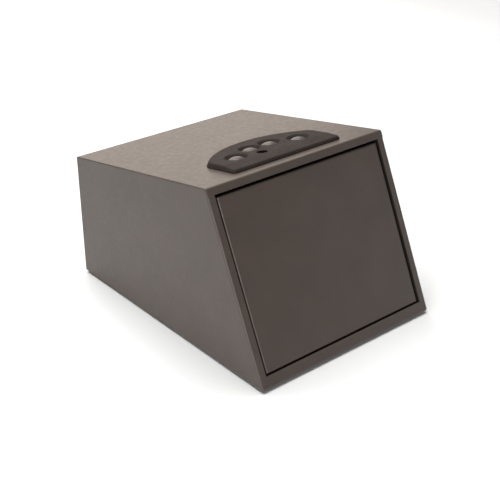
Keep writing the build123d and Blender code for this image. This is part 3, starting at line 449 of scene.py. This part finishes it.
def powder_coat(name, colour, thin, roughness):
    """Polyester powder coat on sheet steel.

    Cured powder flows into a fine orange peel, about 1.5 mm across and drawn at 2 mm so that it shows, which
    breaks up the edges of reflections. The coat drifts at random towards the paler tone, and folded edges are
    painted paler as a painted highlight for the glint they catch.
    """
    made, tree, shader, at = begin(name)
    drift = mottle(tree, at, 38, 0.0, 0.35)
    base = blend_colours(tree, drift, colour, thin)
    # Folded edges painted paler: a painted highlight for the glint on the folds, broken up at random.
    fold_highlight = add(tree, "ShaderNodeMath", {
        0: edge_mask(tree, 0.7 * MM), 1: mottle(tree, at, 9, 0.15, 0.6)}, operation="MULTIPLY").outputs[0]
    peel = noise(tree, at, 2.0, 2.0)
    soft = add(tree, "ShaderNodeBevel", {"Radius": 0.5 * MM}, samples=BEVEL_SAMPLES).outputs["Normal"]
    fill_in(
        shader, Base_Color=blend_colours(tree, fold_highlight, base, thin), IOR=1.5,
        Roughness=mottle(tree, at, 6, roughness - 0.04, roughness + 0.05),
        Normal=relief(tree, peel.outputs["Fac"], 0.05, 0.6, soft))
    return made


def zinc_plate(name):
    """Bright zinc on pressed steel: a cool metal with faint cloudy passivation, 12 mm across."""
    made, tree, shader, at = begin(name)
    cloud = mottle(tree, at, 12, 0.0, 1.0)
    grain = noise(tree, at, 0.8, 3.0)
    fill_in(
        shader, Base_Color=blend_colours(tree, cloud, linear("#B7BABD"), linear("#C9C6B8")), Metallic=1.0,
        Roughness=mottle(tree, at, 5, 0.28, 0.42), Normal=relief(tree, grain.outputs["Fac"], 0.02, 0.5))
    return made


def drawn_wire(name):
    """Oiled spring wire: dark bluish metal with drawing lines along it, 0.5 mm apart."""
    made, tree, shader, at = begin(name)
    line = noise(tree, at, 0.5, 2.0)
    fill_in(
        shader, Base_Color=blend_colours(tree, line.outputs["Fac"], linear("#4A4B50"), linear("#75767A")),
        Metallic=1.0, Roughness=mottle(tree, at, 3, 0.22, 0.36),
        Normal=relief(tree, line.outputs["Fac"], 0.02, 0.4))
    return made


def turned_steel(name):
    """Bright steel bar off the lathe: rings round the X axis, 0.4 mm apart."""
    made, tree, shader, at = begin(name)
    rings_at = add(tree, "ShaderNodeMapping", {"Vector": at, "Scale": (1.0, 0.02, 0.02)}).outputs["Vector"]
    rings = noise(tree, rings_at, 0.4, 2.0)
    fill_in(
        shader, Base_Color=blend_colours(tree, rings.outputs["Fac"], linear("#94969A"), linear("#C4C5C7")),
        Metallic=1.0, Roughness=mottle(tree, at, 4, 0.22, 0.34),
        Normal=relief(tree, rings.outputs["Fac"], 0.02, 0.5))
    return made


def nickel(name):
    """Dull nickel over brass or steel: warm grey metal with fine polishing haze, 3 mm across."""
    made, tree, shader, at = begin(name)
    haze = noise(tree, at, 3.0, 4.0)
    fill_in(
        shader, Base_Color=blend_colours(tree, haze.outputs["Fac"], linear("#BDB8AD"), linear("#D8D3C8")),
        Metallic=1.0, Roughness=mottle(tree, at, 2, 0.29, 0.42),
        Normal=relief(tree, haze.outputs["Fac"], 0.01, 0.3))
    return made


def keyhole_shade_metal(name):
    """Near-black, dull metal on the zinc die casting of the lock: painted shade, so that the keyhole reads as
    a dark, shaded hole.

    A fine cast grain, 0.6 mm across, breaks up what little it reflects.
    """
    made, tree, shader, at = begin(name)
    grain = noise(tree, at, 0.6, 3.0)
    fill_in(
        # Near-black base colour: painted shade in the keyhole.
        shader, Base_Color=blend_colours(tree, grain.outputs["Fac"], linear("#171615"), linear("#2A2827")),
        Metallic=1.0, Roughness=mottle(tree, at, 3, 0.40, 0.52),
        Normal=relief(tree, grain.outputs["Fac"], 0.02, 0.4))
    return made


def machined_brass(name):
    """Free-cutting brass: yellow metal with cutter marks, 0.6 mm apart, and a slight tarnish."""
    made, tree, shader, at = begin(name)
    marks_at = add(tree, "ShaderNodeMapping", {"Vector": at, "Scale": (0.05, 1.0, 0.05)}).outputs["Vector"]
    marks = noise(tree, marks_at, 0.6, 2.0)
    tarnish = mottle(tree, at, 5, 0.0, 0.5)
    fill_in(
        shader, Base_Color=blend_colours(tree, tarnish, linear("#D9B565"), linear("#A5803C")),
        Metallic=1.0, Roughness=mottle(tree, at, 3, 0.22, 0.38),
        Normal=relief(tree, marks.outputs["Fac"], 0.02, 0.5))
    return made


def textured_abs(name, colour, pale, roughness, shine):
    """Injection-moulded ABS with a spark-eroded mould texture.

    The grain is 0.8 mm and drawn at 1.2 mm so that it shows; its pits shade each other and take most of the
    shine off the flat faces, and edges rubbed by hands are paler.
    """
    made, tree, shader, at = begin(name)
    rubbed = add(tree, "ShaderNodeMath", {
        0: edge_mask(tree, 0.6 * MM), 1: mottle(tree, at, 6, 0.2, 0.7)}, operation="MULTIPLY").outputs[0]
    drift = mottle(tree, at, 18, 0.0, 0.2)
    grain = noise(tree, at, 1.2, 3.0)
    soft = add(tree, "ShaderNodeBevel", {"Radius": 0.4 * MM}, samples=BEVEL_SAMPLES).outputs["Normal"]
    base = blend_colours(tree, drift, colour, pale)
    fill_in(
        shader, Base_Color=blend_colours(tree, rubbed, base, pale), IOR=1.53, Specular_IOR_Level=shine,
        Roughness=mottle(tree, at, 4, roughness - 0.05, roughness + 0.06),
        Normal=relief(tree, grain.outputs["Fac"], 0.05, 0.5, soft))
    return made


def soft_touch(name, colour, pale):
    """Soft-touch coat on a moulded cap: an even, satin skin, a little polished on top by fingers."""
    made, tree, shader, at = begin(name)
    polish = mottle(tree, at, 5, 0.30, 0.42)
    skin = noise(tree, at, 1.0, 2.0)
    fill_in(
        shader, Base_Color=blend_colours(tree, mottle(tree, at, 7, 0.0, 0.5), colour, pale), IOR=1.48,
        Roughness=polish, Normal=relief(tree, skin.outputs["Fac"], 0.02, 0.3))
    return made


def nylon(name):
    """Black nylon 66, moulded: dark and waxy, with faint flow marks, 8 mm across."""
    made, tree, shader, at = begin(name)
    flow = mottle(tree, at, 8, 0.0, 1.0)
    fill_in(
        shader, Base_Color=blend_colours(tree, flow, linear("#171716"), linear("#252423")), IOR=1.53,
        Roughness=mottle(tree, at, 3, 0.40, 0.52))
    return made


def rubber(name):
    """Moulded black rubber: matt, with a dusty bloom in patches, 7 mm across."""
    made, tree, shader, at = begin(name)
    bloom = mottle(tree, at, 7, 0.0, 0.6)
    grain = noise(tree, at, 0.9, 3.0)
    fill_in(
        shader, Base_Color=blend_colours(tree, bloom, linear("#151515"), linear("#2A2928")), IOR=1.52,
        Roughness=mottle(tree, at, 4, 0.68, 0.85), Normal=relief(tree, grain.outputs["Fac"], 0.04, 0.5))
    return made


def silicone(name):
    """Moulded silicone keypad mat: milky grey, slightly see-through, faintly tacky sheen."""
    made, tree, shader, at = begin(name)
    milk = mottle(tree, at, 9, 0.0, 1.0)
    fill_in(
        shader, Base_Color=blend_colours(tree, milk, linear("#8D8F8C"), linear("#A3A4A0")), IOR=1.43,
        Roughness=mottle(tree, at, 4, 0.45, 0.6), Subsurface_Weight=0.2)
    shader.inputs["Subsurface Radius"].default_value = (2 * MM, 2 * MM, 2 * MM)
    return made


def foam(name):
    """Cut polyurethane foam.

    The open cells, 0.6 mm across and drawn at 1.4 mm so that they show, shadow each other and leave no shine;
    the cut skin has a slight fuzz.
    """
    made, tree, shader, at = begin(name)
    settings = bpy.context.scene.safe_finish
    wander = noise(tree, at, 2.5, 2.0)
    bent = add(
        tree, "ShaderNodeMix", {0: 0.06, 4: at, 5: wander.outputs["Color"]},
        data_type="VECTOR").outputs[1]
    cells = add(
        tree, "ShaderNodeTexVoronoi", {"Vector": bent, "Scale": per(1.4)}, feature="F1").outputs["Distance"]
    open_cell = add(tree, "ShaderNodeMapRange", {
        "Value": cells, "From Min": 0.15, "From Max": 0.6, "To Min": 0.0, "To Max": 1.0}).outputs["Result"]
    walls = blend_colours(tree, mottle(tree, at, 30, 0.0, 0.5), tuple(settings.foam), linear("#454447"))
    fill_in(
        shader, Base_Color=blend_colours(tree, open_cell, linear("#0E0E0F"), walls), Roughness=0.95,
        Normal=relief(tree, open_cell, 0.5, 0.8), Sheen_Weight=0.15)
    return made


def solder_mask(name):
    """Green solder mask on glass-epoxy board: glossy lacquer over copper tracks, 1.2 to 1.7 mm apart."""
    made, tree, shader, at = begin(name)
    tracks = add(
        tree, "ShaderNodeTexVoronoi", {"Vector": at, "Scale": per(5.0), "Randomness": 0.35}, feature="F1",
        distance="MANHATTAN").outputs["Distance"]
    ripple = add(tree, "ShaderNodeMath", {0: tracks, 1: 18.0}, operation="MULTIPLY")
    wave = add(tree, "ShaderNodeMath", {0: ripple.outputs[0]}, operation="SINE")
    copper = add(tree, "ShaderNodeMapRange", {
        "Value": wave.outputs[0], "From Min": 0.2, "From Max": 0.5, "To Min": 0.0, "To Max": 1.0})
    fill_in(
        shader,
        Base_Color=blend_colours(tree, copper.outputs["Result"], linear("#0F4A25"), linear("#1E6B38")),
        IOR=1.55, Roughness=mottle(tree, at, 6, 0.22, 0.34),
        Normal=relief(tree, copper.outputs["Result"], 0.035, 0.6))
    return made


def epoxy_black(name):
    """Transfer-moulded epoxy: a fine matt grain, 0.5 mm across and drawn at 0.9 mm so that it shows."""
    made, tree, shader, at = begin(name)
    grain = noise(tree, at, 0.9, 4.0)
    fill_in(
        shader, Base_Color=blend_colours(tree, grain.outputs["Fac"], linear("#161617"), linear("#2B2B2D")),
        IOR=1.55, Roughness=mottle(tree, at, 3, 0.45, 0.6),
        Normal=relief(tree, grain.outputs["Fac"], 0.03, 0.5))
    return made


def cell_jacket(name):
    """Shrunk PVC jacket on a dry cell: glossy film, dark with a paler band at one end."""
    made, tree, shader, at = begin(name)
    along = add(tree, "ShaderNodeSeparateXYZ", {"Vector": at}).outputs["X"]
    repeat = add(tree, "ShaderNodeMath", {0: along, 1: CELL_SPACING}, operation="PINGPONG").outputs[0]
    band = add(tree, "ShaderNodeMapRange", {
        "Value": repeat, "From Min": CELL_BAND[0], "From Max": CELL_BAND[1], "To Min": 1.0, "To Max": 0.0})
    fill_in(
        shader,
        Base_Color=blend_colours(tree, band.outputs["Result"], linear("#24262A"), linear("#9A7A4A")),
        IOR=1.52, Metallic=0.3, Roughness=mottle(tree, at, 6, 0.18, 0.28))
    return made


def pvc_lead(name):
    """PVC insulation: even, slightly waxy red with scuffs, 2 mm across."""
    made, tree, shader, at = begin(name)
    scuff = mottle(tree, at, 2, 0.0, 0.5)
    fill_in(
        shader, Base_Color=blend_colours(tree, scuff, linear("#7E1E1A"), linear("#93403A")), IOR=1.53,
        Roughness=mottle(tree, at, 1.5, 0.35, 0.5))
    return made


def flat_cable(name):
    """Polyester flat cable: clear yellowish film over tinned conductors, 1 mm apart."""
    made, tree, shader, at = begin(name)
    across = add(tree, "ShaderNodeSeparateXYZ", {"Vector": at}).outputs["X"]
    repeat = add(tree, "ShaderNodeMath", {0: across, 1: 0.5 * MM}, operation="PINGPONG").outputs[0]
    wire = add(tree, "ShaderNodeMapRange", {
        "Value": repeat, "From Min": 0.2 * MM, "From Max": 0.3 * MM, "To Min": 0.0, "To Max": 1.0})
    fill_in(
        shader,
        Base_Color=blend_colours(tree, wire.outputs["Result"], linear("#CFC29A"), linear("#B9B8B0")),
        IOR=1.6, Roughness=mottle(tree, at, 3, 0.18, 0.3),
        Normal=relief(tree, wire.outputs["Result"], 0.1, 0.5))
    return made


def seamless_paper(name):
    """White background paper: matt, with a fibre tooth, 4 mm across, and a slow drift in its tone."""
    made, tree, shader, at = begin(name)
    settings = bpy.context.scene.safe_stage
    tooth = noise(tree, at, 4, 3.0)
    drift = mottle(tree, at, 900, 0.0, 0.5)
    fill_in(
        shader, Base_Color=blend_colours(tree, drift, tuple(settings.backdrop), linear("#F8F8F7")),
        Roughness=0.9, Normal=relief(tree, tooth.outputs["Fac"], 0.02, 0.2))
    return made


def make_finishes():
    """Material name to the function that makes it."""
    s = bpy.context.scene.safe_finish
    return {
        "satin_powder_coat": lambda name: powder_coat(
            name, tuple(s.paint), tuple(s.paint_pale_and_highlight), s.paint_roughness),
        "black_powder_coat": lambda name: powder_coat(name, tuple(s.inner_paint), linear("#474442"), 0.45),
        "bright_zinc_plate": zinc_plate,
        "oiled_spring_wire": drawn_wire,
        "turned_steel_bar": turned_steel,
        "keyhole_shade_metal": keyhole_shade_metal,
        "nickel_contact": nickel,
        "machined_brass": machined_brass,
        "textured_abs_brown": lambda name: textured_abs(name, tuple(s.pod), linear("#4A413C"), 0.75, 0.15),
        "textured_abs_black": lambda name: textured_abs(name, linear("#1B1B1B"), linear("#333231"), 0.5, 0.4),
        "soft_touch_cap": lambda name: soft_touch(name, tuple(s.button), linear("#5F5650")),
        "black_nylon": nylon,
        "moulded_black_rubber": rubber,
        "grey_silicone": silicone,
        "polyurethane_foam": foam,
        "solder_mask_board": solder_mask,
        "moulded_black_epoxy": epoxy_black,
        "shrunk_cell_jacket": cell_jacket,
        "pvc_insulation": pvc_lead,
        "polyester_flat_cable": flat_cable,
        "seamless_paper": seamless_paper,
    }


def material(name):
    """The named material, made the first time it is asked for."""
    return bpy.data.materials.get(name) or make_finishes()[name](name)


def dress(finish, *slots):
    """Gives a finish to every CAD node of these material slots, and stops if there is none."""
    nodes = [row["node"] for row in frame["record"]["subparts"] if row["material_slot"] in slots]
    if not nodes:
        raise RuntimeError(f"no CAD node has a material slot in {slots}")
    for node in nodes:
        for slot in frame["nodes"][node].material_slots:
            slot.material = material(finish)


class SafePiece:
    """Shared by the operators, which all finish or raise an error."""

    bl_options = {"REGISTER", "UNDO"}

    def execute(self, context):
        self.build(context)
        return {"FINISHED"}


class SAFE_OT_steelwork(SafePiece, bpy.types.Operator):
    """Powder coat on the case, door, frame and shelf, and plating on what is fixed to them"""

    bl_idname = "safe.steelwork"
    bl_label = "Steelwork finishes"

    def build(self, context):
        dress("satin_powder_coat", "case_paint")
        dress("black_powder_coat", "frame_paint")
        dress("bright_zinc_plate", "zinc_steel")
        dress("oiled_spring_wire", "spring_steel")


class SAFE_OT_keypad(SafePiece, bpy.types.Operator):
    """Finishes of the keypad, its buttons and the key lock"""

    bl_idname = "safe.keypad"
    bl_label = "Keypad finishes"

    def build(self, context):
        dress("textured_abs_brown", "pod_plastic")
        dress("soft_touch_cap", "button_rubber")
        dress("grey_silicone", "silicone")
        dress("keyhole_shade_metal", "lock_steel")


class SAFE_OT_mechanism(SafePiece, bpy.types.Operator):
    """Finishes of the latch, the electronics and the small mouldings"""

    bl_idname = "safe.mechanism"
    bl_label = "Mechanism finishes"

    def build(self, context):
        dress("turned_steel_bar", "bolt_steel")
        dress("machined_brass", "brass")
        dress("black_nylon", "nylon")
        dress("moulded_black_rubber", "rubber")
        dress("textured_abs_black", "black_plastic")
        dress("solder_mask_board", "circuit_board")
        dress("moulded_black_epoxy", "component_plastic")
        dress("shrunk_cell_jacket", "cell_jacket")
        dress("nickel_contact", "contact_nickel")
        dress("pvc_insulation", "cable_pvc")
        dress("polyester_flat_cable", "ribbon_film")


class SAFE_OT_floor_pad(SafePiece, bpy.types.Operator):
    """Flat foam on the floor, punched out over the anchor holes"""

    bl_idname = "safe.floor_pad"
    bl_label = "Floor foam"

    def build(self, context):
        low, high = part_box("floor_foam")
        pad = slab("floor_pad", low, high)
        for x, y in ANCHOR_PLACES:
            cut(pad, slab(
                "punch", (x - ANCHOR_ACCESS, y - ANCHOR_ACCESS, low.z - MM),
                (x + ANCHOR_ACCESS, y + ANCHOR_ACCESS, high.z + MM)))
        for x, y in RIVET_PLACES:
            cut(pad, bar(RIVET_HOLLOW, RIVET_CUTTER, (x, y, low.z), sides=24))
        soften(pad, context.scene.safe_foam.edge)
        lay_in(pad, "floor_foam")


class SAFE_OT_side_pads(SafePiece, bpy.types.Operator):
    """Thin wedge-shaped foam on both side walls, notched round the shelf brackets"""

    bl_idname = "safe.side_pads"
    bl_label = "Side foam"

    def build(self, context):
        for node, name in (("right_foam", "right_pad"), ("left_foam", "left_pad")):
            low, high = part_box(node)
            pad = slab(name, low, high)
            trim(pad, out_of(FRONT, FRONT_CUT), plane_normal(FRONT))
            trim(pad, out_of(TOP, ROOF_CUT), plane_normal(TOP))
            for y in BRACKET_PLACES:
                notch_low = (low.x - SHEET, y - BRACKET_NOTCH_WIDTH / 2, BRACKET_NOTCH_LOW)
                notch_high = (
                    high.x + SHEET, y + BRACKET_NOTCH_WIDTH / 2, BRACKET_NOTCH_LOW + BRACKET_NOTCH_HEIGHT)
                cut(pad, slab("notch", notch_low, notch_high))
            soften(pad, context.scene.safe_foam.edge)
            lay_in(pad, node)


class SAFE_OT_back_pad(SafePiece, bpy.types.Operator):
    """Profiled foam inside the back panel"""

    bl_idname = "safe.back_pad"
    bl_label = "Back foam"

    def build(self, context):
        foam_settings = context.scene.safe_foam
        low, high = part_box("back_foam")
        pad = profiled(
            "back_pad", high.x, (low.z, high.z), high.y - low.y, foam_settings.pitch, foam_settings.depth)
        place_on(pad, Matrix.Translation((0, high.y, 0)) @ Matrix.Rotation(math.pi / 2, 4, "X"))
        trim(pad, out_of(TOP, BACK_ROOF_CUT), plane_normal(TOP))
        lay_in(pad, "back_foam")


class SAFE_OT_shelf_pad(SafePiece, bpy.types.Operator):
    """Foam in the shelf tray, open over the finger hole"""

    bl_idname = "safe.shelf_pad"
    bl_label = "Shelf foam"

    def build(self, context):
        low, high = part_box("shelf_foam")
        pad = slab("shelf_pad", low, high)
        x, y, radius = FINGER_HOLE
        cut(pad, bar(radius, FINGER_CUTTER, (x, y, high.z)))
        soften(pad, context.scene.safe_foam.edge)
        lay_in(pad, "shelf_foam")


class SAFE_OT_door_pad(SafePiece, bpy.types.Operator):
    """Profiled foam on the inside of the door"""

    bl_idname = "safe.door_pad"
    bl_label = "Door foam"

    def build(self, context):
        foam_settings = context.scene.safe_foam
        pad = profiled(
            "door_pad", DOOR_PAD_HALF, DOOR_PAD_REACH, DOOR_PAD_THICKNESS, foam_settings.pitch,
            foam_settings.depth)
        flipped = Matrix.Translation((0, 0, DOOR_PAD_BACK)) @ Matrix.Scale(-1, 4, (0, 0, 1))
        place_on(pad, FRONT @ flipped)
        face_outwards(pad)
        lay_in(pad, "door_foam")


class SAFE_OT_stage(SafePiece, bpy.types.Operator):
    """White paper floor, soft lights and the camera"""

    bl_idname = "safe.stage"
    bl_label = "Studio"

    def build(self, context):
        settings = context.scene.safe_stage
        deselect_all()
        bpy.ops.mesh.primitive_plane_add(size=PAPER_SIZE, location=(0, 0, -PAPER_DROP))
        paper = bpy.context.object
        paper.name = "paper_floor"
        settle(paper)
        paper.data.materials.append(material("seamless_paper"))

        for name, place, size, power, tint in LAMPS:
            data = bpy.data.lights.new(name, "AREA")
            data.size = size
            data.energy = power
            data.color = linear(tint)[:3]
            lamp = bpy.data.objects.new(name, data)
            lamp.location = place
            lamp.rotation_euler = (LAMP_TARGET - Vector(place)).to_track_quat("-Z", "Y").to_euler()
            context.collection.objects.link(lamp)

        world = bpy.data.worlds.new("studio")
        world.use_nodes = True
        sky = world.node_tree.nodes["Background"]
        sky.inputs["Color"].default_value = (1, 1, 1, 1)
        sky.inputs["Strength"].default_value = settings.sky
        context.scene.world = world
        context.scene.view_settings.view_transform = "Standard"

        data = bpy.data.cameras.new("camera")
        data.lens = settings.lens
        data.sensor_width = SENSOR
        camera = bpy.data.objects.new("camera", data)
        camera.location = settings.place
        camera.rotation_euler = settings.turn
        context.collection.objects.link(camera)
        context.scene.camera = camera


OPERATORS = (
    SAFE_OT_steelwork, SAFE_OT_keypad, SAFE_OT_mechanism, SAFE_OT_floor_pad, SAFE_OT_side_pads,
    SAFE_OT_back_pad, SAFE_OT_shelf_pad, SAFE_OT_door_pad, SAFE_OT_stage,
)


class SAFE_PT_panel(bpy.types.Panel):
    """Lists the safe's settings and steps"""

    bl_label = "Quick access safe"
    bl_space_type = "VIEW_3D"
    bl_region_type = "UI"
    bl_category = "Safe"

    def draw(self, context):
        for group in (context.scene.safe_finish, context.scene.safe_foam, context.scene.safe_stage):
            box = self.layout.box()
            for name in group.bl_rna.properties.keys():
                if name not in ("rna_type", "name"):
                    box.prop(group, name)
        for operator in OPERATORS:
            self.layout.operator(operator.bl_idname)


CLASSES = (SafeFinishSettings, SafeFoamSettings, SafeStageSettings) + OPERATORS + (SAFE_PT_panel,)


def register():
    for cls in CLASSES:
        bpy.utils.register_class(cls)
    bpy.types.Scene.safe_finish = bpy.props.PointerProperty(type=SafeFinishSettings)
    bpy.types.Scene.safe_foam = bpy.props.PointerProperty(type=SafeFoamSettings)
    bpy.types.Scene.safe_stage = bpy.props.PointerProperty(type=SafeStageSettings)


def unregister():
    del bpy.types.Scene.safe_stage
    del bpy.types.Scene.safe_foam
    del bpy.types.Scene.safe_finish
    for cls in reversed(CLASSES):
        bpy.utils.unregister_class(cls)


def main():
    register()
    for operator in OPERATORS:
        step = operator.bl_idname.split(".")[1]
        getattr(bpy.ops.safe, step)()


if __name__ == "__main__":
    main()
